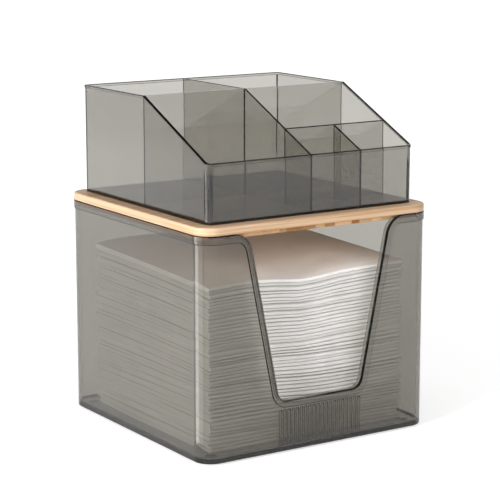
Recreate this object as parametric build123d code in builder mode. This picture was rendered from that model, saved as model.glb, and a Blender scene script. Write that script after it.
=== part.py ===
from build123d import *
import os

# Facial towel dispenser: a smoke-clear bin with an open front window, a bamboo lid that
# drops into its rim, and a smoke-clear tray with a sloped side line standing on the lid.
# Millimetres. Origin at the bottom centre, +X to the right, the window faces -Y, +Z up.

os.makedirs("parts", exist_ok=True)

# Bin
bin_width = 200.0
bin_depth = 200.0
bin_height = 165.0  # underside of the floor to the top of the rim
bin_wall = 2.5
bin_floor = 3.0
bin_corner_radius = 14.0
bin_base_radius = 1.0
bin_inner_base_radius = 2.0

# Raised band along the rim and raised border round the window
rim_band_height = 6.5
border_width = 5.2
border_junction_radius = 6.0  # where the border runs into the rim band
band_proud = 0.8
band_edge_radius = 0.7

# Flange along the window's edge, inside the bin
flange_thickness = 1.6
flange_depth = 2.6  # inner face of the front wall to the back of the flange
flange_edge_radius = 0.5

# Window in the front wall, open up to the rim
window_sill = 38.0  # above the underside of the floor
window_sill_width = 72.0
window_rim_width = 124.0
window_corner_radius = 8.5
window_shoulder_radius = 16.0

# Upright half-round grip ribs below the window
grip_width = 73.0
rib_count = 20
rib_gap = 0.7
rib_proud = 0.8
rib_base_gap = 3.2  # above the underside of the floor
rib_border_gap = 0.9  # below the window's border

# Round pads under the floor
pad_diameter = 9.0
pad_drop = 1.5
pad_inset = 14.0  # outer wall face to pad centre
pad_edge_radius = 0.4

# Lid: a board that lies on the rim and a cross-grain core that drops inside it
board_overhang = 0.5
board_thickness = 6.0
board_top_radius = 1.5
board_bottom_radius = 0.8
core_thickness = 4.0
core_clearance = 0.8  # to the side and back walls, and to the back of the flange
core_chamfer = 0.6

# Tray
tray_margin = 10.5  # edge of the board to the tray's outer faces
tray_wall = 2.0
tray_floor = 2.2
tray_front_height = 43.5
tray_back_height = 83.0
tray_front_corner_radius = 5.0
tray_back_corner_radius = 2.5
slope_top_setback = 88.5  # front face of the tray to the top of the slope
slope_foot_radius = 10.0
slope_top_radius = 4.0
tray_edge_radius = 0.8
tray_lip_height = 2.2
tray_lip_proud = 0.5
tray_lip_edge_radius = 0.3
divider_edge_radius = 0.6

# Dividers, flush with the tray's side line
divider_thickness = 1.6
long_divider_offset = -1.5  # from the middle, to the right
short_divider_offset = 42.5
mid_divider_setback = 35.0  # front face of the tray to the middle of the divider

# Folded towels: a stack and the loose one on top
towel_side_gap = 11.5  # inner face of a side wall to the towels
towel_front_gap = 13.5
towel_rear_gap = 17.5
towel_thickness = 2.6
towel_gap = 0.1
towels_in_stack = 44
towel_fold_radius = 1.25

# How near to a plane a face counts as lying on it
near = 0.05

# Levels
floor_bottom_z = pad_drop
floor_top_z = floor_bottom_z + bin_floor
rim_z = floor_bottom_z + bin_height
board_top_z = rim_z + board_thickness
tray_floor_z = board_top_z + tray_floor
tray_front_z = board_top_z + tray_front_height
tray_back_z = board_top_z + tray_back_height
sill_z = floor_bottom_z + window_sill

# Places shared by several pieces
bin_front_y = -bin_depth / 2
wall_inside_y = bin_front_y + bin_wall
wall_middle_y = bin_front_y + bin_wall / 2
border_front_y = bin_front_y - band_proud
flange_back_y = wall_inside_y + flange_depth
cavity_width = bin_width - 2 * bin_wall
cavity_depth = bin_depth - 2 * bin_wall
cavity_corner_radius = bin_corner_radius - bin_wall
board_width = bin_width + 2 * board_overhang
board_depth = bin_depth + 2 * board_overhang
tray_width = board_width - 2 * tray_margin
tray_depth = board_depth - 2 * tray_margin
tray_front_y = -tray_depth / 2
tray_inner_width = tray_width - 2 * tray_wall
tray_inner_depth = tray_depth - 2 * tray_wall
slope_top_y = tray_front_y + slope_top_setback
mid_divider_y = tray_front_y + mid_divider_setback
rear_divider_y = slope_top_y + divider_thickness / 2
crossing_height = (tray_back_z - tray_floor_z) / 2
rib_pitch = (grip_width + rib_gap) / rib_count
rib_width = rib_pitch - rib_gap
rib_bottom_z = floor_bottom_z + rib_base_gap
rib_top_z = sill_z - border_width - rib_border_gap
rib_radius = (rib_width**2 / 4 + rib_proud**2) / (2 * rib_proud)
rib_axis_y = bin_front_y - rib_proud + rib_radius
window_shoulder_x = window_rim_width / 2 + window_shoulder_radius
core_front_y = flange_back_y + core_clearance
core_back_y = bin_depth / 2 - bin_wall - core_clearance
towel_pitch = towel_thickness + towel_gap
towel_width = cavity_width - 2 * towel_side_gap
towel_depth = cavity_depth - towel_front_gap - towel_rear_gap
towels_front_y = wall_inside_y + towel_front_gap
stack_bottom_z = floor_top_z + towel_gap

# Window cut: the opening through the front wall, widening into the rim with round shoulders
with BuildPart() as window_cut:
    with BuildSketch(Plane.XZ.offset(-flange_back_y - bin_wall)) as window_shape:
        with BuildLine():
            Polyline(
                (-window_sill_width / 2, sill_z),
                (window_sill_width / 2, sill_z),
                (window_rim_width / 2, rim_z),
                (bin_width, rim_z),
                (bin_width, rim_z + window_sill),
                (-bin_width, rim_z + window_sill),
                (-bin_width, rim_z),
                (-window_rim_width / 2, rim_z),
                close=True,
            )
        make_face()
        corners = window_shape.vertices().group_by(Axis.Y)
        fillet(corners[0], radius=window_corner_radius)
        shoulders = window_shape.vertices().filter_by_position(
            Axis.X, -bin_width + near, bin_width - near
        )
        fillet(shoulders.group_by(Axis.Y)[-1], radius=window_shoulder_radius)
    extrude(amount=flange_back_y - border_front_y + 2 * bin_wall)

# Window frame: inside, a thin flange along the window and the rim that ends in the round
# corners of the cavity; outside, a raised border that runs into a strip under the rim
with BuildPart() as window_frame:
    with BuildSketch(Plane.XZ.offset(-flange_back_y)):
        add(window_shape.sketch_local)
        offset(amount=flange_thickness, kind=Kind.ARC)
        with Locations((0, (floor_bottom_z + rim_z) / 2)):
            Rectangle(bin_width, bin_height, mode=Mode.INTERSECT)
    extrude(amount=flange_back_y - wall_middle_y)
    with BuildSketch(Plane.XY.offset(floor_bottom_z)):
        RectangleRounded(
            bin_width - bin_wall, bin_depth - bin_wall, bin_corner_radius - bin_wall / 2
        )
    extrude(amount=bin_height, mode=Mode.INTERSECT)
    with BuildSketch(Plane.XZ.offset(-wall_middle_y)) as border_shape:
        add(window_shape.sketch_local)
        offset(amount=border_width, kind=Kind.ARC)
        with Locations((0, rim_z)):
            Rectangle(bin_width, rim_band_height, align=(Align.CENTER, Align.MAX))
        with Locations((0, (floor_bottom_z + rim_z) / 2)):
            Rectangle(bin_width - 2 * bin_corner_radius, bin_height, mode=Mode.INTERSECT)
        strip_bottom = border_shape.vertices().filter_by_position(
            Axis.Y, rim_z - rim_band_height - near, rim_z - rim_band_height + near
        )
        junctions = strip_bottom.filter_by_position(Axis.X, -window_shoulder_x, window_shoulder_x)
        fillet(junctions, radius=border_junction_radius)
    extrude(amount=wall_middle_y - border_front_y)

# Grip rib: a half-round bar with domed ends, cut off inside the wall
with BuildPart() as rib:
    rib_bar_length = rib_top_z - rib_bottom_z - rib_width
    Cylinder(rib_radius, rib_bar_length)
    with Locations((0, 0, rib_bar_length / 2), (0, 0, -rib_bar_length / 2)):
        Sphere(rib_radius)
    with Locations((0, wall_middle_y - rib_axis_y, 0)):
        Box(
            2 * rib_width,
            bin_wall + rib_proud,
            2 * rib_top_z,
            align=(Align.CENTER, Align.MAX, Align.CENTER),
            mode=Mode.INTERSECT,
        )

# Bin shell: rounded box, rim band, cavity, window in its frame and grip ribs
with BuildPart() as bin_shell:
    with BuildSketch(Plane.XY.offset(floor_bottom_z)):
        RectangleRounded(bin_width, bin_depth, bin_corner_radius)
    extrude(amount=bin_height)
    fillet(bin_shell.faces().sort_by(Axis.Z)[0].edges(), radius=bin_base_radius)
    with BuildSketch(Plane.XY.offset(rim_z - rim_band_height)):
        RectangleRounded(
            bin_width + 2 * band_proud, bin_depth + 2 * band_proud, bin_corner_radius + band_proud
        )
    extrude(amount=rim_band_height)
    with BuildSketch(Plane.XY.offset(floor_top_z)):
        RectangleRounded(cavity_width, cavity_depth, cavity_corner_radius)
    extrude(amount=bin_height, mode=Mode.SUBTRACT)
    cavity_floor = bin_shell.faces().filter_by_position(
        Axis.Z, floor_top_z - near, floor_top_z + near
    )
    fillet(cavity_floor[0].edges(), radius=bin_inner_base_radius)
    add(window_frame.part)
    add(window_cut.part, mode=Mode.SUBTRACT)
    border_front = bin_shell.faces().filter_by(Axis.Y).sort_by(Axis.Y)[0]
    fillet(border_front.edges(), radius=band_edge_radius)
    flange_back = bin_shell.faces().filter_by(Axis.Y).filter_by_position(
        Axis.Y, flange_back_y - near, flange_back_y + near
    )
    flange_edges = flange_back.edges().filter_by(
        lambda edge: edge.center().Z < rim_z - near
        and abs(edge.center().X) < bin_width / 2 - bin_corner_radius
    )
    fillet(flange_edges, radius=flange_edge_radius)
    with Locations((0, rib_axis_y, (rib_bottom_z + rib_top_z) / 2)):
        with GridLocations(rib_pitch, 0, rib_count, 1):
            add(rib.part)
bin_shell.part.label = "bin_shell"
export_step(bin_shell.part, "parts/bin_shell.step")

# Pads: four clear discs that lift the floor off the table
pad_names = ["pad_front_left", "pad_front_right", "pad_rear_left", "pad_rear_right"]
pad_signs = [(-1, -1), (1, -1), (-1, 1), (1, 1)]
for pad_name, (side, end) in zip(pad_names, pad_signs):
    pad_x = side * (bin_width / 2 - pad_inset)
    pad_y = end * (bin_depth / 2 - pad_inset)
    with BuildPart() as pad:
        with BuildSketch(Plane.XY.shift_origin((pad_x, pad_y, 0))):
            Circle(pad_diameter / 2)
        extrude(amount=pad_drop)
        fillet(pad.faces().sort_by(Axis.Z)[0].edges(), radius=pad_edge_radius)
    pad.part.label = pad_name
    export_step(pad.part, "parts/" + pad_name + ".step")

# Lid board: lies on the rim with soft edges
with BuildPart() as lid_board:
    with BuildSketch(Plane.XY.offset(rim_z)):
        RectangleRounded(board_width, board_depth, bin_corner_radius + board_overhang)
    extrude(amount=board_thickness)
    fillet(lid_board.faces().sort_by(Axis.Z)[-1].edges(), radius=board_top_radius)
    fillet(lid_board.faces().sort_by(Axis.Z)[0].edges(), radius=board_bottom_radius)
lid_board.part.label = "lid_board"
export_step(lid_board.part, "parts/lid_board.step")

# Lid core: glued under the board, drops in behind the flange and centres the lid
with BuildPart() as lid_core:
    with BuildSketch(Plane.XY.offset(rim_z - core_thickness)):
        with Locations((0, (core_front_y + core_back_y) / 2)):
            RectangleRounded(
                cavity_width - 2 * core_clearance,
                core_back_y - core_front_y,
                cavity_corner_radius - core_clearance,
            )
    extrude(amount=core_thickness)
    chamfer(lid_core.faces().sort_by(Axis.Z)[0].edges(), length=core_chamfer)
lid_core.part.label = "lid_core"
export_step(lid_core.part, "parts/lid_core.step")


def outline_of(faces):
    """The edges that only one of the faces has."""
    edges = faces.edges()
    return [edge for edge in edges if sum(edge.is_same(other) for other in edges) == 1]


def round_top_edges(piece, radius):
    """Round the long edges of every upward face above the tray's floor."""
    tops = piece.faces().filter_by(
        lambda face: face.normal_at().Z > 0.3 and face.center().Z > tray_floor_z + tray_wall
    )
    fillet(outline_of(tops), radius=radius)


# Tray side line: what is cut away above the tray's walls and dividers
with BuildPart() as above_tray:
    with BuildSketch(Plane.YZ.offset(-tray_width)) as side_line:
        with BuildLine():
            Polyline(
                (tray_front_y - tray_wall, tray_front_z),
                (tray_front_y + tray_wall, tray_front_z),
                (slope_top_y, tray_back_z),
                (tray_depth, tray_back_z),
                (tray_depth, tray_back_z + tray_back_height),
                (tray_front_y - tray_wall, tray_back_z + tray_back_height),
                close=True,
            )
        make_face()
        line_corners = side_line.vertices()
        slope_foot = line_corners.sort_by_distance((tray_front_y + tray_wall, tray_front_z))[0]
        fillet(slope_foot, radius=slope_foot_radius)
        line_corners = side_line.vertices()
        slope_top = line_corners.sort_by_distance((slope_top_y, tray_back_z))[0]
        fillet(slope_top, radius=slope_top_radius)
    extrude(amount=2 * tray_width)

# Tray outline in plan
with BuildSketch() as tray_outline:
    Rectangle(tray_width, tray_depth)
    fillet(tray_outline.vertices().group_by(Axis.Y)[0], radius=tray_front_corner_radius)
    fillet(tray_outline.vertices().group_by(Axis.Y)[-1], radius=tray_back_corner_radius)

# Tray lip: a narrow raised edge outside the walls, along the side line
with BuildPart() as tray_lip:
    with BuildSketch(Plane.XY.offset(board_top_z)):
        add(tray_outline.sketch_local)
        offset(amount=tray_lip_proud, kind=Kind.ARC)
    extrude(amount=tray_back_height)
    add(above_tray.part, mode=Mode.SUBTRACT)
    with Locations((0, 0, -tray_lip_height)):
        add(above_tray.part, mode=Mode.INTERSECT)
    undersides = tray_lip.faces().filter_by(lambda face: face.normal_at().Z < -0.3)
    fillet(outline_of(undersides), radius=tray_lip_edge_radius)

# Tray: open box with rounded corners, high at the back and low at the front
with BuildPart() as tray:
    with BuildSketch(Plane.XY.offset(board_top_z)):
        add(tray_outline.sketch_local)
    extrude(amount=tray_back_height)
    add(tray_lip.part)
    with BuildSketch(Plane.XY.offset(tray_floor_z)):
        add(tray_outline.sketch_local)
        offset(amount=-tray_wall, kind=Kind.INTERSECTION)
    extrude(amount=tray_back_height, mode=Mode.SUBTRACT)
    add(above_tray.part, mode=Mode.SUBTRACT)
    round_top_edges(tray, tray_edge_radius)
tray.part.label = "tray"
export_step(tray.part, "parts/tray.step")

# Rear divider: full width, notched from above where the long divider crosses it
with BuildPart() as rear_divider:
    with BuildSketch(Plane.XZ.offset(-rear_divider_y - divider_thickness / 2)):
        with Locations((0, tray_floor_z)):
            Rectangle(tray_inner_width, crossing_height * 2, align=(Align.CENTER, Align.MIN))
        with Locations((long_divider_offset, tray_floor_z + crossing_height)):
            Rectangle(
                divider_thickness, crossing_height, align=(Align.CENTER, Align.MIN), mode=Mode.SUBTRACT
            )
    extrude(amount=divider_thickness)
rear_divider.part.label = "rear_divider"
export_step(rear_divider.part, "parts/rear_divider.step")

# Long divider: front to back, notched from below over the rear divider
with BuildPart() as long_divider:
    with BuildSketch(Plane.YZ.offset(long_divider_offset - divider_thickness / 2)):
        with Locations((0, tray_floor_z)):
            Rectangle(tray_inner_depth, tray_back_height, align=(Align.CENTER, Align.MIN))
        with Locations((rear_divider_y, tray_floor_z)):
            Rectangle(
                divider_thickness, crossing_height, align=(Align.CENTER, Align.MIN), mode=Mode.SUBTRACT
            )
    extrude(amount=divider_thickness)
    add(above_tray.part, mode=Mode.SUBTRACT)
    round_top_edges(long_divider, divider_edge_radius)
long_divider.part.label = "long_divider"
export_step(long_divider.part, "parts/long_divider.step")

# Middle divider: from the long divider to the right wall
with BuildPart() as mid_divider:
    mid_length = tray_inner_width / 2 - long_divider_offset - divider_thickness / 2
    with BuildSketch(Plane.YZ.offset(tray_inner_width / 2 - mid_length)):
        with Locations((mid_divider_y, tray_floor_z)):
            Rectangle(divider_thickness, tray_back_height, align=(Align.CENTER, Align.MIN))
    extrude(amount=mid_length)
    add(above_tray.part, mode=Mode.SUBTRACT)
    round_top_edges(mid_divider, divider_edge_radius)
mid_divider.part.label = "mid_divider"
export_step(mid_divider.part, "parts/mid_divider.step")

# Short divider: from the front wall back to the middle divider
with BuildPart() as short_divider:
    short_length = mid_divider_setback - tray_wall - divider_thickness / 2
    with BuildSketch(Plane.YZ.offset(short_divider_offset - divider_thickness / 2)):
        with Locations((tray_front_y + tray_wall, tray_floor_z)):
            Rectangle(short_length, tray_back_height, align=(Align.MIN, Align.MIN))
    extrude(amount=divider_thickness)
    add(above_tray.part, mode=Mode.SUBTRACT)
    round_top_edges(short_divider, divider_edge_radius)
short_divider.part.label = "short_divider"
export_step(short_divider.part, "parts/short_divider.step")

# One folded towel: a flat slab with a round folded edge at the front
with BuildPart() as towel:
    with BuildSketch(Plane.YZ.offset(-towel_width / 2)) as towel_profile:
        with Locations((towels_front_y, 0)):
            Rectangle(towel_depth, towel_thickness, align=(Align.MIN, Align.MIN))
        fillet(towel_profile.vertices().group_by(Axis.X)[0], radius=towel_fold_radius)
    extrude(amount=towel_width)

# Towel stack: equal towels on one another, standing on the floor
with BuildPart() as towel_stack:
    with Locations(*[(0, 0, stack_bottom_z + level * towel_pitch) for level in range(towels_in_stack)]):
        add(towel.part)
towel_stack.part.label = "towel_stack"
export_step(towel_stack.part, "parts/towel_stack.step")

# Top towel: the next one to be drawn out through the window
with BuildPart() as top_towel:
    with Locations((0, 0, stack_bottom_z + towels_in_stack * towel_pitch)):
        add(towel.part)
top_towel.part.label = "top_towel"
export_step(top_towel.part, "parts/top_towel.step")
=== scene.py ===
import math

import bmesh
import bpy
import numpy as np
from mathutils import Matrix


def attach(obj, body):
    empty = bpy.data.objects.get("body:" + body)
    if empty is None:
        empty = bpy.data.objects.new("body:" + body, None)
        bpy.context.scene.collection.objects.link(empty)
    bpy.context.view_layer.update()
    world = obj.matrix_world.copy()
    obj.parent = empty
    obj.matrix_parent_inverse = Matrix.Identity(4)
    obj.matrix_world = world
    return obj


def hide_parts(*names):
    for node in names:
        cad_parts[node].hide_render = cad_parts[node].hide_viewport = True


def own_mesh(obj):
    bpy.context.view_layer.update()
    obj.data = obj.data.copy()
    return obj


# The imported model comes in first: a square smoke-grey bin of folded facial towels, a bamboo
# lid on it, and a clear tray with compartments on the lid. Everything below is in metres.
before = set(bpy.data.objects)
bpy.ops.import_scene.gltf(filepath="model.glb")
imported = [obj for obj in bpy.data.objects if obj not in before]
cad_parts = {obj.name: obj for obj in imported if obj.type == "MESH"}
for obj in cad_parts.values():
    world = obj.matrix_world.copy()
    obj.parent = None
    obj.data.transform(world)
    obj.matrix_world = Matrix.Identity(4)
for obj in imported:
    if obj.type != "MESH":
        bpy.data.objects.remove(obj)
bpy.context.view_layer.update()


# The camera stands to the left of the front and looks slightly down, with a long lens, as the
# photograph was taken. Its place was fitted to the edges of the bin, the lid and the tray.
CAMERA_PLACE = (-0.76167, -1.17441, 0.40708)
CAMERA_YAW = 0.57758
CAMERA_PITCH = -0.19477
CAMERA_LENS_MM = 133.80
CAMERA_SENSOR_MM = 36.0
CAMERA_NEAR, CAMERA_FAR = 0.05, 50.0

camera_data = bpy.data.cameras.new("camera")
camera_data.sensor_width = CAMERA_SENSOR_MM
camera_data.lens = CAMERA_LENS_MM
camera_data.clip_start = CAMERA_NEAR
camera_data.clip_end = CAMERA_FAR
camera = bpy.data.objects.new("camera", camera_data)
camera.location = CAMERA_PLACE
camera.rotation_euler = (math.pi / 2 + CAMERA_PITCH, 0.0, -CAMERA_YAW)
bpy.context.scene.collection.objects.link(camera)
bpy.context.scene.camera = camera
bpy.context.scene.view_settings.view_transform = "Standard"


# The surround is white, and glass and gloss show it too, under a darker ceiling. What it lights
# the object with is weaker, so that colours render about as they are written.
WORLD_LIGHT = 0.5
CEILING_TONE = 0.12
CEILING_FROM, CEILING_TO = 0.30, 0.60  # height in the sky, 0 at the horizon and 1 overhead


def add_node(tree, kind, values=None, **settings):
    """A node of a kind in a tree. A value that is a socket is linked, and any other is set."""
    node = tree.nodes.new("ShaderNode" + kind)
    for name, value in settings.items():
        setattr(node, name, value)
    for key, value in (values or {}).items():
        if isinstance(value, bpy.types.NodeSocket):
            tree.links.new(value, node.inputs[key])
        else:
            node.inputs[key].default_value = value
    return node


def maths(tree, operation, *terms):
    """The result of a Math node on one or two terms, each a socket or a number."""
    return add_node(tree, "Math", dict(enumerate(terms)), operation=operation).outputs[0]


def ramp(tree, value, low, high, first=0.0, last=1.0, smooth=True):
    """Goes from first to last as value goes from low to high, with or without soft ends."""
    limits = {"From Min": low, "From Max": high, "To Min": first, "To Max": last}
    kind = "SMOOTHSTEP" if smooth else "LINEAR"
    node = add_node(tree, "MapRange", {"Value": value, **limits}, interpolation_type=kind)
    return node.outputs["Result"]


def parts_of(tree, output):
    """X, Y and Z of one of the outputs of Texture Coordinate, such as Object or Normal."""
    source = add_node(tree, "TexCoord").outputs[output]
    return add_node(tree, "SeparateXYZ", {0: source}).outputs


def seen_directly(tree):
    """1 for rays of the camera, and for those that get there by gloss or through glass."""
    path = add_node(tree, "LightPath").outputs
    gloss = maths(tree, "MAXIMUM", path["Is Camera Ray"], path["Is Glossy Ray"])
    return maths(tree, "MAXIMUM", gloss, path["Is Transmission Ray"])


world = bpy.data.worlds.new("studio")
bpy.context.scene.world = world
world.use_nodes = True
sky = world.node_tree
sky.nodes.clear()
height = parts_of(sky, "Generated")["Z"]
ceiling = ramp(sky, height, CEILING_FROM, CEILING_TO, 1.0, CEILING_TONE)
surround = add_node(sky, "Background", {"Color": ceiling, "Strength": 1.0})
sky_light = add_node(sky, "Background", {"Strength": WORLD_LIGHT})
sky_mix = add_node(
    sky, "MixShader", {0: seen_directly(sky), 1: sky_light.outputs[0], 2: surround.outputs[0]}
)
add_node(sky, "OutputWorld", {"Surface": sky_mix.outputs[0]})


# The floor is matt white paper that keeps the object's shadow. What is seen of it directly is
# lifted to white by a glow, which is weaker near the object.
FLOOR_HALF = 12.0
FLOOR_WHITE = 0.8
FLOOR_GLOW_NEAR, FLOOR_GLOW_FAR = 0.50, 0.8
FLOOR_NEAR, FLOOR_FAR = 0.2, 2.0  # distance from the object's middle


def new_material(name):
    """A material with an empty node tree, and that tree."""
    material = bpy.data.materials.new(name)
    material.use_nodes = True
    material.node_tree.nodes.clear()
    return material, material.node_tree


def new_object(name, data):
    """An object for a mesh or a lamp, in the scene."""
    made = bpy.data.objects.new(name, data)
    bpy.context.scene.collection.objects.link(made)
    return made


floor_mesh = bpy.data.meshes.new("floor")
floor_corners = [(-1, -1), (1, -1), (1, 1), (-1, 1)]
floor_points = [(x * FLOOR_HALF, y * FLOOR_HALF, 0) for x, y in floor_corners]
floor_mesh.from_pydata(floor_points, [], [(0, 1, 2, 3)])
floor_paper, tree = new_material("floor_paper")
floor_place = add_node(tree, "TexCoord").outputs["Object"]
floor_reach = add_node(tree, "VectorMath", {0: floor_place}, operation="LENGTH").outputs["Value"]
floor_glow = ramp(tree, floor_reach, FLOOR_NEAR, FLOOR_FAR, FLOOR_GLOW_NEAR, FLOOR_GLOW_FAR)
floor_matt = add_node(tree, "BsdfDiffuse", {"Color": (FLOOR_WHITE, FLOOR_WHITE, FLOOR_WHITE, 1)})
floor_lift = add_node(tree, "Emission", {"Strength": floor_glow})
floor_seen = add_node(tree, "AddShader", {0: floor_matt.outputs[0], 1: floor_lift.outputs[0]})
floor_mix = add_node(
    tree, "MixShader", {0: seen_directly(tree), 1: floor_matt.outputs[0], 2: floor_seen.outputs[0]}
)
add_node(tree, "OutputMaterial", {"Surface": floor_mix.outputs[0]})
floor_mesh.materials.append(floor_paper)
new_object("floor", floor_mesh)


# Soft lamps stand on the left, which is the strongest, in front, on the right, above and behind.
# They are low and off to the sides, so that the pale towels don't clip to white.
LAMPS = {
    # place, height it points at over the origin, width, height, watts, whether gloss shows it
    "lamp_left": ((-1.65, -0.44, 0.48), 0.12, 0.6, 0.9, 38, True),
    "lamp_above": ((0.1, -0.2, 2.0), 0.1, 0.9, 0.9, 2, True),
    "lamp_front": ((0.0, -1.4, 0.7), 0.12, 0.9, 0.6, 7.5, True),
    "lamp_right": ((1.4, -1.0, 0.9), 0.12, 0.4, 1.0, 3, True),
    "lamp_back": ((-0.5, 1.5, 0.6), 0.14, 0.9, 0.6, 4, False),
}

for name, (place, aim, wide, high, watts, mirrored) in LAMPS.items():
    softbox = bpy.data.lights.new(name, "AREA")
    softbox.shape = "RECTANGLE"
    softbox.size = wide
    softbox.size_y = high
    softbox.energy = watts
    lamp = new_object(name, softbox)
    lamp.location = place
    lamp.rotation_euler = (
        math.atan2(math.hypot(place[0], place[1]), place[2] - aim),
        0.0,
        math.atan2(-place[1], -place[0]) - math.pi / 2,
    )
    lamp.visible_camera = False
    lamp.visible_transmission = False
    lamp.visible_glossy = mirrored


# A curved strip light stands beside the near corner. It is lit on its inner side and shows in
# gloss only, as the bright line down the corner of the bin and of the tray.
STRIP_CENTRE = (-0.0995, -0.091)
STRIP_RADIUS = 0.05
STRIP_LOW, STRIP_HIGH = 0.001, 0.26
STRIP_FROM, STRIP_TO = 60.0, 140.0  # degrees from the front towards the left
STRIP_GLOW = 6.5
STRIP_TONES = ((0.0, 0.0), (0.22, 0.45), (0.48, 0.45), (0.60, 1.0), (0.80, 1.0), (0.96, 0.0))
STRIP_STEPS = 40

strip_points, strip_faces = [], []
for step in range(STRIP_STEPS + 1):
    turn = math.radians(STRIP_FROM + (STRIP_TO - STRIP_FROM) * step / STRIP_STEPS)
    x = STRIP_CENTRE[0] - math.sin(turn) * STRIP_RADIUS
    y = STRIP_CENTRE[1] - math.cos(turn) * STRIP_RADIUS
    strip_points += [(x, y, STRIP_LOW), (x, y, STRIP_HIGH)]
    if step:
        strip_faces.append((2 * step - 2, 2 * step, 2 * step + 1, 2 * step - 1))
strip_mesh = bpy.data.meshes.new("strip_light")
strip_mesh.from_pydata(strip_points, [], strip_faces)
strip_paint, tree = new_material("strip_light")
strip_place = parts_of(tree, "Object")
strip_x = maths(tree, "SUBTRACT", STRIP_CENTRE[0], strip_place["X"])
strip_y = maths(tree, "SUBTRACT", STRIP_CENTRE[1], strip_place["Y"])
strip_turn = maths(tree, "ARCTAN2", strip_x, strip_y)
strip_ends = (math.radians(STRIP_FROM), math.radians(STRIP_TO))
strip_share = ramp(tree, strip_turn, *strip_ends, smooth=False)
strip_ramp = add_node(tree, "ValToRGB", {0: strip_share})
strip_tones = strip_ramp.color_ramp
strip_tones.interpolation = "EASE"
while len(strip_tones.elements) < len(STRIP_TONES):
    strip_tones.elements.new(0.5)
for element, (position, tone) in zip(strip_tones.elements, STRIP_TONES):
    element.position = position
    element.color = (tone, tone, tone, 1)
strip_glow = maths(tree, "MULTIPLY", strip_ramp.outputs["Color"], STRIP_GLOW)
strip_lit = add_node(tree, "Emission", {"Strength": strip_glow})
strip_back = add_node(tree, "BsdfTransparent")
strip_side = add_node(tree, "NewGeometry").outputs["Backfacing"]
strip_mix = add_node(
    tree, "MixShader", {0: strip_side, 1: strip_lit.outputs[0], 2: strip_back.outputs[0]}
)
add_node(tree, "OutputMaterial", {"Surface": strip_mix.outputs[0]})
strip_mesh.materials.append(strip_paint)
strip = new_object("strip_light", strip_mesh)
for ray in ("camera", "diffuse", "transmission", "volume_scatter", "shadow"):
    setattr(strip, "visible_" + ray, False)


# The bin is moulded in one piece from smoke-grey clear plastic, with a raised band round its
# rim and window and upright grip ribs under the window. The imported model's own shape is kept.
SMOKE_TAKEN = (280.0, 291.0, 320.0)  # absorption per metre of plastic, in red, green and blue
SMOKE_IOR = 1.53
SMOKE_ROUGHNESS = 0.02
# Painted shade: rounded edges are drawn dark in the plastic's colour and in its reflections.
PAINTED_EDGE_SHADE = (0.03, 0.03, 0.03, 1)
EDGE_SHADE_FROM, EDGE_SHADE_TO = 0.015, 0.07  # how far a face turns where the edge's tone starts and is full
BIN_LEVEL = 0.93  # a face that turns further than this is level, and no edge
FRONT_LEVEL = 0.95  # one that turns further than this to the front is the front itself
FRONT_FACE = -0.1
FRONT_PROUD = 0.0001  # what stands out further than this is border, band or rib
FRONT_SKIN = 0.001  # how deep the front's own rounded edges go
WINDOW_BACK = -0.0935
WINDOW_HALF_WIDTH = 0.0862
RIBS_TOP = 0.034


def mixed(tree, share, first, second):
    """A number between two others."""
    return add_node(tree, "Mix", {0: share, 2: first, 3: second}).outputs[0]


def mixed_colour(tree, share, first, second):
    """A colour between two others."""
    values = {0: share, 6: first, 7: second}
    return add_node(tree, "Mix", values, data_type="RGBA").outputs[2]


def turned(tree, axis, most):
    """0 on faces square to an axis, more the more a face turns to it, and 0 again past most."""
    facing = parts_of(tree, "Normal")[axis]
    square = maths(tree, "MULTIPLY", facing, facing)
    within = maths(tree, "LESS_THAN", square, most)
    return maths(tree, "MULTIPLY", square, within)


def front_turn(tree):
    """How far the front's edges turn away from it, which sets their painted shade. What stands
    proud of it is shaded by how far it turns from the front, and the window's cut faces behind it
    stay clear. The left flanks of the ribs stay clear too, so the ribs get painted shade on their
    right flanks only, the side away from the light on the left."""
    place = parts_of(tree, "Object")
    facing = parts_of(tree, "Normal")
    square = maths(tree, "MULTIPLY", facing["Y"], facing["Y"])
    flank = maths(tree, "SUBTRACT", 1.0, square)
    proud = maths(tree, "LESS_THAN", place["Y"], FRONT_FACE - FRONT_PROUD)
    near = maths(tree, "LESS_THAN", place["Y"], FRONT_FACE + FRONT_SKIN)
    bent = maths(tree, "MULTIPLY", turned(tree, "Y", FRONT_LEVEL), near)
    edge_shade = mixed(tree, proud, bent, flank)
    over = maths(tree, "GREATER_THAN", place["Z"], RIBS_TOP)
    right = maths(tree, "GREATER_THAN", facing["X"], 0.0)
    return maths(tree, "MULTIPLY", edge_shade, maths(tree, "MAXIMUM", over, right))


def bin_turn(tree):
    """How far the bin's edges turn: the front's round its window, and elsewhere those between
    upright and level faces."""
    place = parts_of(tree, "Object")
    over = maths(tree, "GREATER_THAN", place["Z"], RIBS_TOP)
    limit = mixed(tree, over, FRONT_FACE + FRONT_SKIN, WINDOW_BACK)
    ahead = maths(tree, "LESS_THAN", place["Y"], limit)
    aside = maths(tree, "ABSOLUTE", place["X"])
    between = maths(tree, "LESS_THAN", aside, WINDOW_HALF_WIDTH)
    there = maths(tree, "MULTIPLY", ahead, between)
    return mixed(tree, there, turned(tree, "Z", BIN_LEVEL), front_turn(tree))


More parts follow.
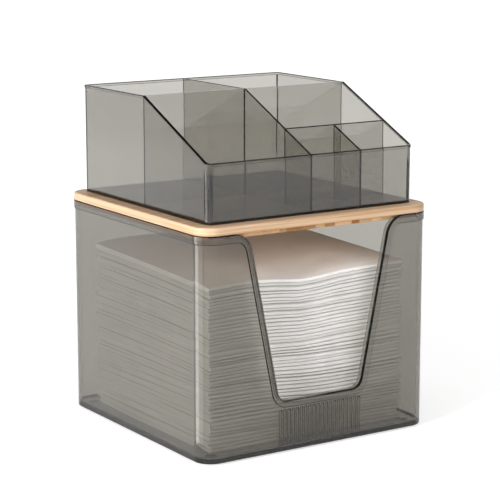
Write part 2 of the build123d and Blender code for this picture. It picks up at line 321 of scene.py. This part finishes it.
def clear_plastic(name, taken, ior, roughness, edge_turn):
    """Clear tinted plastic: it bends and mirrors what the camera sees, and lamps pass it straight.

    Its rounded edges are given painted shade: a dark tone in its colour and its reflections,
    where edge_turn(tree) says that the surface turns, in place of the dark lines of trapped light."""
    material, tree = new_material(name)
    # The dark tone on the turning edges is painted shade, in the colour and in the reflections.
    edge_shade = ramp(tree, edge_turn(tree), EDGE_SHADE_FROM, EDGE_SHADE_TO)
    tone = mixed_colour(tree, edge_shade, (1, 1, 1, 1), PAINTED_EDGE_SHADE)
    glass = add_node(
        tree,
        "BsdfPrincipled",
        {
            "Base Color": tone,
            "Specular Tint": tone,
            "Transmission Weight": 1.0,
            "IOR": ior,
            "Roughness": roughness,
        },
    )
    path = add_node(tree, "LightPath").outputs
    straight = maths(tree, "MAXIMUM", path["Is Shadow Ray"], path["Is Diffuse Ray"])
    clear = add_node(tree, "BsdfTransparent")
    surface = add_node(tree, "MixShader", {0: straight, 1: glass.outputs[0], 2: clear.outputs[0]})
    density = 2 * max(taken)
    tint = (*[1 - share / density for share in taken], 1)
    body = add_node(tree, "VolumeAbsorption", {"Color": tint, "Density": density})
    ends = {"Surface": surface.outputs[0], "Volume": body.outputs[0]}
    add_node(tree, "OutputMaterial", ends)
    return material


def finish_node(node, material):
    """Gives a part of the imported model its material."""
    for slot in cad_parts[node].material_slots:
        slot.material = material


bin_plastic = clear_plastic("bin_plastic", SMOKE_TAKEN, SMOKE_IOR, SMOKE_ROUGHNESS, bin_turn)
finish_node("bin_shell", bin_plastic)


# Four round pads of soft clear silicone are stuck under the bin's floor near its corners, to
# keep it from sliding.
SILICONE_TAKEN = (60.0, 60.0, 60.0)
SILICONE_IOR = 1.41
SILICONE_ROUGHNESS = 0.12
PLAIN_LEVEL = 0.81  # for pieces whose edges are all between upright and level faces


def plain_turn(tree):
    """How far a surface turns between upright and level faces."""
    return turned(tree, "Z", PLAIN_LEVEL)


# The pads' rounded edges get the same painted shade as the bin's.
silicone = clear_plastic(
    "clear_silicone", SILICONE_TAKEN, SILICONE_IOR, SILICONE_ROUGHNESS, plain_turn
)
for node in ("pad_front_left", "pad_front_right", "pad_rear_left", "pad_rear_right"):
    finish_node(node, silicone)


# The bin holds a stack of soft cotton facial towels, each a two-ply sheet folded once with the
# fold to the front. They lie unevenly, so their folds bulge, wander and sink back a little.
TOWELS = 44
TOWEL_SEED = 657
TOWEL_HALF_WIDTH = 0.086
TOWEL_FRONT, TOWEL_BACK = -0.084, 0.080
TOWEL_GAP = 0.00004  # what each towel keeps free above and below it
STACK_BOTTOM, STACK_TOP = 0.0046, 0.1234
# The stack's cotton is painted darker than the top towel's, as painted shade.
STACK_SHADED_DARKER, STACK_SHADED_LIGHTER = (0.73, 0.715, 0.69), (0.79, 0.775, 0.755)

# How the top of the stack rises and falls along its front, which fades to the back.
RISE_AT = (-0.087, -0.070, -0.051, -0.028, -0.007, 0.010, 0.028, 0.055, 0.087)
RISE_BY = (0.0000, 0.0012, 0.0019, 0.0002, -0.0022, -0.0016, 0.0002, 0.0012, 0.0018)
RISE_FADE = 2.2
BACK_RISE, BACK_RISE_POWER = 0.0058, 0.8
RISE_GROWTH = 1.4  # 1 is an even growth from the bottom towel to the top one

# How each towel's thickness swells in smooth waves, as lengths and as shares of its thickness.
SWELL_LENGTHS = np.array([0.31, 0.16, 0.09])
SWELL_SIZES = np.array([0.13, 0.08, 0.03])
WAVE_SPREAD = 0.9  # radians that a wave may be turned from the width

# How each towel's fold and edges wander, as lengths and sizes of waves, and how it is shifted.
FRONT_WAVES = ((0.19, 0.09), (0.00035, 0.00012))
BACK_WAVES = ((0.15, 0.06), (0.0009, 0.0004))
LEFT_WAVES = ((0.14, 0.05), (0.0005, 0.0002))
RIGHT_WAVES = ((0.13, 0.045), (0.0005, 0.0002))
SIDE_ROOM = 0.0008
SHIFT_BACK, SHIFT_ASIDE = 0.00022, 0.0005
SINKS, SINK_ODDS = (0.0, 0.0, 0.0011, 0.0022), (0.4, 0.25, 0.22, 0.13)

# How the two plies close at the fold and along the sides.
PLY_GAP = 0.0003
FOLD_SQUARE = 0.55  # 1 is a round fold, less is a flatter one
FOLD_PINCHES, PINCH_ODDS = (0.0003, 0.0005, 0.0010), (0.4, 0.4, 0.2)
PINCH_DEPTH = 0.006
SIDE_PINCH = 0.0005
SIDE_PINCH_DEPTH = 0.004

# How finely a towel is divided: across, from its back to its fold, and round the fold.
COLUMNS = 64
RUN_STEPS = 9
RUN_CROWDING = 1.7  # 1 is even steps, more crowds them towards the fold
FOLD_STEPS = 11
CREASE_ANGLE = 50

towel_rng = np.random.default_rng(TOWEL_SEED)
swell_angles = towel_rng.uniform(-WAVE_SPREAD, WAVE_SPREAD, (TOWELS, len(SWELL_SIZES)))
swell_phases = towel_rng.uniform(0, 1, (TOWELS, len(SWELL_SIZES)))
rise_shares = np.linspace(0, 1, TOWELS + 1) ** RISE_GROWTH


def smooth_wave(lengths, sizes):
    """A smooth random function of x and y, a sum of waves of given lengths and sizes."""
    waves = []
    for length, size in zip(lengths, sizes):
        angle = towel_rng.uniform(-WAVE_SPREAD, WAVE_SPREAD)
        along_x, along_y = math.cos(angle) / length, math.sin(angle) / length
        waves.append((along_x, along_y, towel_rng.uniform(0, 1), size))

    def at(x, y):
        return sum(
            size * np.sin(2 * math.pi * (along_x * x + along_y * y + phase))
            for along_x, along_y, phase, size in waves
        )

    return at


def stack_rise(x, y):
    """How much the top of the stack stands above or below its mean level."""
    depth = (y - TOWEL_FRONT) / (TOWEL_BACK - TOWEL_FRONT)
    back = BACK_RISE * np.clip(depth, 0, 1) ** BACK_RISE_POWER
    return np.interp(x, RISE_AT, RISE_BY) * np.exp(-RISE_FADE * depth) + back


def level_height(k, x, y):
    """Height of the level between towel k - 1 and towel k, counted from 0, at points x, y."""
    along_x = np.cos(swell_angles) / SWELL_LENGTHS
    along_y = np.sin(swell_angles) / SWELL_LENGTHS
    turns = along_x[..., None] * x + along_y[..., None] * y + swell_phases[..., None]
    swell = (np.sin(2 * math.pi * turns) * SWELL_SIZES[:, None]).sum(1)
    lump = swell[:k].sum(0) - swell.sum(0) * k / TOWELS
    even = (STACK_TOP - STACK_BOTTOM) / TOWELS
    return STACK_BOTTOM + even * (k + lump) + rise_shares[k] * stack_rise(x, y)


def closed_skin(name, outer, inner):
    """An object with one closed skin round the cloth between two grids of points."""
    count_r, count_c = outer.shape[:2]
    last_r, last_c = count_r - 1, count_c - 1

    def at(r, c, side):
        return side * count_r * count_c + r * count_c + c

    faces = []
    for r in range(last_r):
        for c in range(last_c):
            faces.append((at(r, c, 0), at(r + 1, c, 0), at(r + 1, c + 1, 0), at(r, c + 1, 0)))
            faces.append((at(r, c, 1), at(r, c + 1, 1), at(r + 1, c + 1, 1), at(r + 1, c, 1)))
        faces.append((at(r, 0, 0), at(r, 0, 1), at(r + 1, 0, 1), at(r + 1, 0, 0)))
        faces.append(
            (at(r, last_c, 0), at(r + 1, last_c, 0), at(r + 1, last_c, 1), at(r, last_c, 1))
        )
    for c in range(last_c):
        faces.append((at(0, c, 0), at(0, c + 1, 0), at(0, c + 1, 1), at(0, c, 1)))
        faces.append(
            (at(last_r, c, 0), at(last_r, c, 1), at(last_r, c + 1, 1), at(last_r, c + 1, 0))
        )
    points = np.concatenate([outer.reshape(-1, 3), inner.reshape(-1, 3)])
    mesh = bpy.data.meshes.new(name)
    mesh.from_pydata(points.tolist(), [], faces)
    mesh.shade_smooth()
    mesh.set_sharp_from_angle(angle=math.radians(CREASE_ANGLE))
    return new_object(name, mesh)


def folded_towel(name, low, high, front, back, left, right, pinch=0.0, roundness=1.0):
    """A two-ply towel folded over at the front, between the heights low(x, y) and high(x, y).

    front(x), back(x), left(y) and right(y) give its edges, pinch how much thinner the fold is
    than the space for it, and roundness how deep the fold's curve is, as a share of a half
    circle's depth."""
    across = np.linspace(-1, 1, COLUMNS + 1)
    x = across * TOWEL_HALF_WIDTH
    y_front, y_back = front(x), back(x)
    low_front, high_front = low(x, y_front) + pinch / 2, high(x, y_front) - pinch / 2
    radius = (high_front - low_front) / 2
    fold_middle = (high_front + low_front) / 2
    y_start = y_front + radius * roundness
    side_shrink = SIDE_PINCH / 2 * np.exp((np.abs(x) - TOWEL_HALF_WIDTH) / SIDE_PINCH_DEPTH)

    runs = np.linspace(1, 0, RUN_STEPS + 1)
    turns = np.linspace(0, math.pi, FOLD_STEPS + 2)[1:-1]
    rows = [("under", t) for t in runs] + [("fold", t) for t in turns]
    rows += [("over", t) for t in runs[::-1]]
    outer, inner = [], []
    for part, t in rows:
        if part == "fold":
            rise = np.sign(np.cos(t)) * abs(np.cos(t)) ** FOLD_SQUARE
            y = y_start - np.sin(t) ** FOLD_SQUARE * radius * roundness
            z_out = fold_middle - rise * radius
            y_in = y_start - np.sin(t) * PLY_GAP
            z_in = fold_middle - np.cos(t) * PLY_GAP / 2
        else:
            y = y_start + (y_back - y_start) * t**RUN_CROWDING
            shrink = np.maximum(pinch / 2 * np.exp((y_start - y) / PINCH_DEPTH), side_shrink)
            bottom, top = low(x, y) + shrink, high(x, y) - shrink
            middle = (bottom + top) / 2
            z_out = bottom if part == "under" else top
            y_in = y
            z_in = middle - PLY_GAP / 2 if part == "under" else middle + PLY_GAP / 2
        x_edge = np.where(across < 0, left(y), right(y)) / TOWEL_HALF_WIDTH
        outer.append(np.stack([x * x_edge, y, z_out], 1))
        inner.append(np.stack([x * x_edge, y_in, z_in], 1))
    return closed_skin(name, np.array(outer), np.array(inner))


def cotton(name, darker, lighter):
    """Soft unbleached cotton, nonwoven: warm white, matt, with fine fibres and small dimples."""
    material, tree = new_material(name)
    place = add_node(tree, "TexCoord").outputs["Object"]
    cloud = add_node(tree, "TexNoise", {"Vector": place, "Scale": 60.0, "Detail": 3.0})
    share = ramp(tree, cloud.outputs["Fac"], 0.3, 0.7, smooth=False)
    fibres = add_node(
        tree, "TexNoise", {"Vector": place, "Scale": 1400.0, "Detail": 4.0, "Roughness": 0.7}
    )
    dimples = add_node(
        tree, "TexVoronoi", {"Vector": place, "Scale": 620.0, "Randomness": 0.35}
    )
    nap = maths(tree, "ADD", fibres.outputs["Fac"], dimples.outputs["Distance"])
    bump = add_node(tree, "Bump", {"Height": nap, "Strength": 0.35, "Distance": 0.0004})
    cloth = add_node(
        tree,
        "BsdfPrincipled",
        {
            "Base Color": mixed_colour(tree, share, (*darker, 1), (*lighter, 1)),
            "Roughness": 0.95,
            "Specular IOR Level": 0.15,
            "Sheen Weight": 0.15,
            "Sheen Roughness": 0.6,
            "Normal": bump.outputs["Normal"],
        },
    )
    add_node(tree, "OutputMaterial", {"Surface": cloth.outputs[0]})
    return material


stack_cotton_painted_shade = cotton("stack_cotton_painted_shade", STACK_SHADED_DARKER, STACK_SHADED_LIGHTER)
for k in range(TOWELS):
    sink = towel_rng.choice(SINKS, p=SINK_ODDS)
    shift_y = towel_rng.normal(0, SHIFT_BACK) + sink
    shift_x = towel_rng.normal(0, SHIFT_ASIDE)
    front_wave = smooth_wave(*FRONT_WAVES)
    back_wave = smooth_wave(*BACK_WAVES)
    left_wave = smooth_wave(*LEFT_WAVES)
    right_wave = smooth_wave(*RIGHT_WAVES)
    towel = folded_towel(
        f"towel_{k + 1:02d}",
        lambda x, y: level_height(k, x, y) + TOWEL_GAP,
        lambda x, y: level_height(k + 1, x, y) - TOWEL_GAP,
        lambda x: TOWEL_FRONT + shift_y + front_wave(x, 0.0),
        lambda x: TOWEL_BACK + back_wave(x, 0.0),
        lambda y: TOWEL_HALF_WIDTH - shift_x - SIDE_ROOM + left_wave(y, 0.0),
        lambda y: TOWEL_HALF_WIDTH + shift_x - SIDE_ROOM + right_wave(y, 0.0),
        towel_rng.choice(FOLD_PINCHES, p=PINCH_ODDS),
    )
    towel.data.materials.append(stack_cotton_painted_shade)
    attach(towel, "bin")
    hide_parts("towel_stack")


# The loose towel on top is the next one to be drawn out through the window. It is of the same
# cotton, puffed up, and painted brighter than the stack as painted light.
TOP_THICKNESS = 0.0032
TOP_ROUNDNESS = 4.0
# Painted light: the top towel's cotton is lighter than the stack's.
TOP_LIT_DARKER, TOP_LIT_LIGHTER = (0.88, 0.87, 0.85), (0.94, 0.93, 0.915)
TOP_OVERHANG = 0.0006
TOP_FOLD_WAVE, TOP_FOLD_TURNS = 0.0005, 40  # size, and radians per metre
CROWN = 0.0022
CROWN_DEPTH = 0.05  # from the fold to where the puff is full
CROWN_EDGE, CROWN_SIDE = 0.088, 0.03  # where it ends at the sides, and how soon it is full
CROWN_POWER = 0.6


def top_low(x, y):
    """The top towel's underside, on the stack."""
    return level_height(TOWELS, x, y) + TOWEL_GAP


def top_high(x, y):
    """The top towel's upper side, puffed up away from its fold and its sides."""
    depth = np.clip((y - TOWEL_FRONT) / CROWN_DEPTH, 0, 1)
    side = np.clip((CROWN_EDGE - np.abs(x)) / CROWN_SIDE, 0, 1) ** CROWN_POWER
    return top_low(x, y) + TOP_THICKNESS + CROWN * np.sin(depth * math.pi / 2) * side


top_towel = folded_towel(
    "towel_on_top",
    top_low,
    top_high,
    lambda x: TOWEL_FRONT - TOP_OVERHANG + TOP_FOLD_WAVE * np.sin(x * TOP_FOLD_TURNS),
    lambda x: np.full_like(x, TOWEL_BACK),
    lambda y: np.full_like(y, TOWEL_HALF_WIDTH),
    lambda y: np.full_like(y, TOWEL_HALF_WIDTH),
    roundness=TOP_ROUNDNESS,
)
top_towel.data.materials.append(cotton("top_cotton_painted_light", TOP_LIT_DARKER, TOP_LIT_LIGHTER))
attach(top_towel, "towel")
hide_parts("top_towel")
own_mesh(top_towel)


# The lid's board is laminated bamboo, pale and satin, with fine dark streaks along its sides
# and broad strips on its top. It lies on the bin's rim.
BAMBOO_DARK, BAMBOO_LIGHT = (0.47, 0.285, 0.15), (0.60, 0.415, 0.268)
BAMBOO_FROM, BAMBOO_TO = 0.34, 0.56  # the part of the streaks' tones that the colours span
BAMBOO_ROUGHNESS = 0.5
SIDE_STREAKS, SIDE_DETAIL = (9.0, 9.0, 620.0), 3.0  # per metre along x, y and z
TOP_STREAKS, TOP_DETAIL = (6.0, 210.0, 6.0), 4.0
ACROSS_FROM, ACROSS_TO = 0.5, 0.85  # how squarely a face looks along an axis


def add_streaks(tree, stretch, detail):
    """Noise drawn out into streaks."""
    place = add_node(tree, "TexCoord").outputs["Object"]
    drawn = add_node(tree, "VectorMath", {0: place, 1: stretch}, operation="MULTIPLY").outputs[0]
    values = {"Vector": drawn, "Scale": 1.0, "Detail": detail, "Roughness": 0.6}
    return add_node(tree, "TexNoise", values).outputs["Fac"]


def facing_share(tree, axis):
    """1 where a surface faces along an axis, 0 where it is square to it."""
    size = maths(tree, "ABSOLUTE", parts_of(tree, "Normal")[axis])
    return ramp(tree, size, ACROSS_FROM, ACROSS_TO, smooth=False)


def wood(name, tone, low, high, dark, light):
    """Satin bamboo that goes from dark to light as tone(tree) goes from low to high."""
    material, tree = new_material(name)
    share = ramp(tree, tone(tree), low, high)
    body = add_node(
        tree,
        "BsdfPrincipled",
        {
            "Base Color": mixed_colour(tree, share, (*dark, 1), (*light, 1)),
            "Roughness": BAMBOO_ROUGHNESS,
            "Specular IOR Level": 0.3,
        },
    )
    add_node(tree, "OutputMaterial", {"Surface": body.outputs[0]})
    return material


def board_tone(tree):
    """The board's streaks, those of its top where it faces up."""
    side = add_streaks(tree, SIDE_STREAKS, SIDE_DETAIL)
    top = add_streaks(tree, TOP_STREAKS, TOP_DETAIL)
    return mixed(tree, facing_share(tree, "Z"), side, top)


bamboo = wood("bamboo", board_tone, BAMBOO_FROM, BAMBOO_TO, BAMBOO_DARK, BAMBOO_LIGHT)
finish_node("lid_board", bamboo)


# The core under the board is bamboo with its grain across, glued to the board. Its front shows
# upright blocks of end grain, orange-brown and pale, and its sides show long streaks.
CORE_DARK, CORE_LIGHT = (0.34, 0.145, 0.033), (0.74, 0.475, 0.25)
CORE_FROM, CORE_TO = 0.15, 0.75
BLOCKS_PER_METRE = 125.0
END_STREAKS, END_DETAIL = (1500.0, 3.0, 60.0), 2.0
END_STREAKS_SHARE = 0.42
LONG_STREAKS, LONG_DETAIL = (3.0, 9.0, 700.0), 3.0


def core_tone(tree):
    """The core's blocks of end grain, and its long streaks where it faces aside."""
    count = maths(tree, "MULTIPLY", parts_of(tree, "Object")["X"], BLOCKS_PER_METRE)
    block = add_node(tree, "TexVoronoi", {"W": count, "Scale": 1.0}, voronoi_dimensions="1D")
    block_tone = add_node(tree, "SeparateColor", {0: block.outputs["Color"]}).outputs["Red"]
    fine = add_streaks(tree, END_STREAKS, END_DETAIL)
    ends = mixed(tree, END_STREAKS_SHARE, block_tone, fine)
    return mixed(tree, facing_share(tree, "X"), ends, add_streaks(tree, LONG_STREAKS, LONG_DETAIL))


bamboo_core = wood("bamboo_core", core_tone, CORE_FROM, CORE_TO, CORE_DARK, CORE_LIGHT)
finish_node("lid_core", bamboo_core)


# The tray is an open box with a sloped side line and four dividers, of the bin's clear plastic.
# It is one moulding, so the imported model's pieces are fused into one mesh. It stands on the lid.
TRAY_PARTS = ("tray", "rear_divider", "long_divider", "mid_divider", "short_divider")
SAME_POINT = 1e-6  # points of one piece that are closer than this are one
JOINED_POINT = 2e-6  # and the same for the fused tray
FLAT_ANGLE = 0.3  # degrees between faces that are merged into one
SHARP_ANGLE = 40
BROAD_FACE = 5e-5  # square metres from which a face is shaded flat


def clean_mesh(mesh, same_point, flat_angle=None):
    """Merges the mesh's double points, and its faces in one plane."""
    work = bmesh.new()
    work.from_mesh(mesh)
    bmesh.ops.remove_doubles(work, verts=work.verts, dist=same_point)
    if flat_angle:
        limit = math.radians(flat_angle)
        bmesh.ops.dissolve_limit(work, angle_limit=limit, verts=work.verts, edges=work.edges)
    work.to_mesh(mesh)
    work.free()


def apply_modifiers(piece):
    """Turns a piece with its modifiers into a plain mesh."""
    shaped = piece.evaluated_get(bpy.context.evaluated_depsgraph_get())
    plain = bpy.data.meshes.new_from_object(shaped)
    piece.modifiers.clear()
    piece.data = plain


tray = None
for node in TRAY_PARTS:
    copy = bpy.data.meshes.new_from_object(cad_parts[node])
    clean_mesh(copy, SAME_POINT)
    if tray is None:
        tray = new_object("organiser_tray", copy)
        continue
    divider = new_object(node + "_copy", copy)
    join = tray.modifiers.new("join", "BOOLEAN")
    join.operation = "UNION"
    join.solver = "EXACT"
    join.object = divider
    apply_modifiers(tray)
    bpy.data.objects.remove(divider)
tray.data.name = "organiser_tray"
clean_mesh(tray.data, JOINED_POINT, FLAT_ANGLE)
tray.data.materials.clear()
# The tray's rounded edges get the same painted shade as the bin's.
tray.data.materials.append(
    clear_plastic("tray_plastic", SMOKE_TAKEN, SMOKE_IOR, SMOKE_ROUGHNESS, plain_turn)
)
tray.data.shade_smooth()
tray.data.set_sharp_from_angle(angle=math.radians(SHARP_ANGLE))
even_shade = tray.modifiers.new("even_shade", "WEIGHTED_NORMAL")
even_shade.mode = "FACE_AREA"
even_shade.weight = 100
even_shade.thresh = 0.0
even_shade.keep_sharp = True
apply_modifiers(tray)
corner_normals = [tuple(corner.vector) for corner in tray.data.corner_normals]
for face in tray.data.polygons:
    if face.area > BROAD_FACE:
        for corner in face.loop_indices:
            corner_normals[corner] = tuple(face.normal)
tray.data.normals_split_custom_set(corner_normals)
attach(tray, "organiser")
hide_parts(*TRAY_PARTS)
